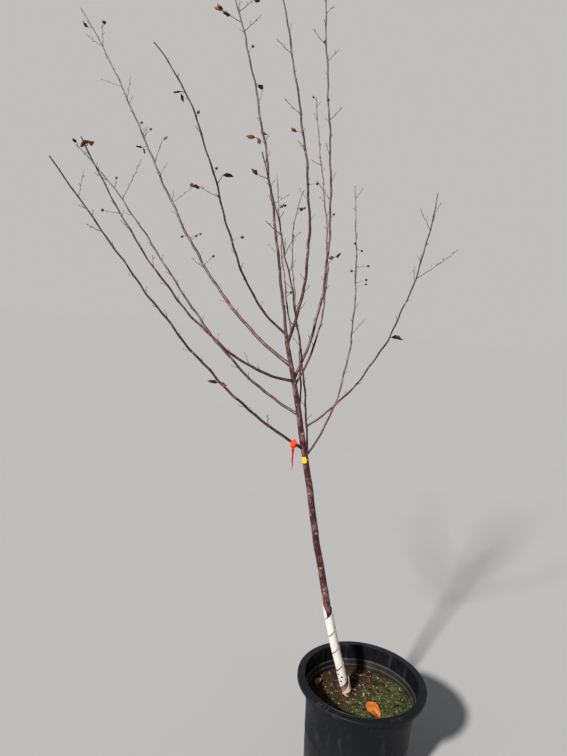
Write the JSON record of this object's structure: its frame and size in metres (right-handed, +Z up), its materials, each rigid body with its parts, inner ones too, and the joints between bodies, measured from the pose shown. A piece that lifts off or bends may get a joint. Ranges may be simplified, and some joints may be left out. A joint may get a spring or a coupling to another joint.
{
  "type": "potted young fruiting tree",
  "caption": "Bare young fruiting tree with a leaning trunk, spiral trunk guard and open upright crown, in a round nursery pot filled with its root ball.",
  "frame": {"origin": "centre of the pot's flat underside", "axes": "+Z up through the pot, +X to the right and +Y away from the front, so the trunk leans towards -X"},
  "size_m": [1.857, 1.0875, 3.6502],
  "materials": {
    "pot": "moulded black polyethylene, dull sheen",
    "soil": "loose bark-based potting mix",
    "bark": "smooth purplish brown bark with pale pores",
    "young_bark": "young twigs, grey-brown",
    "guard": "white vinyl strip",
    "tag": "plain yellow band",
    "ribbon": "thin orange marking tape"
  },
  "bodies": {
    "root": {"pot": "pot", "root_ball": "soil", "trunk": "bark", "bough_leader_left": "bark", "bough_leader_middle": "bark", "bough_leader_right": "bark", "bough_left_high": "bark", "bough_left_mid": "bark", "bough_left_under": "bark", "bough_left_low": "bark", "bough_left_top": "bark", "bough_back_right": "bark", "bough_back_thin": "bark", "bough_back_middle": "bark", "bough_front_thin": "bark", "bough_right_low": "bark", "bough_right_upright": "bark", "twigs_leader_left": "young_bark", "twigs_leader_middle": "young_bark", "twigs_leader_right": "young_bark", "twigs_left_high": "young_bark", "twigs_left_mid": "young_bark", "twigs_left_under": "young_bark", "twigs_left_low": "young_bark", "twigs_left_top": "young_bark", "twigs_back_right": "young_bark", "twigs_back_thin": "young_bark", "twigs_back_middle": "young_bark", "twigs_front_thin": "young_bark", "twigs_right_low": "young_bark", "twigs_right_upright": "young_bark", "trunk_guard": "guard", "tag_band": "tag", "flag_ribbon": "ribbon"}
  },
  "joints": []
}
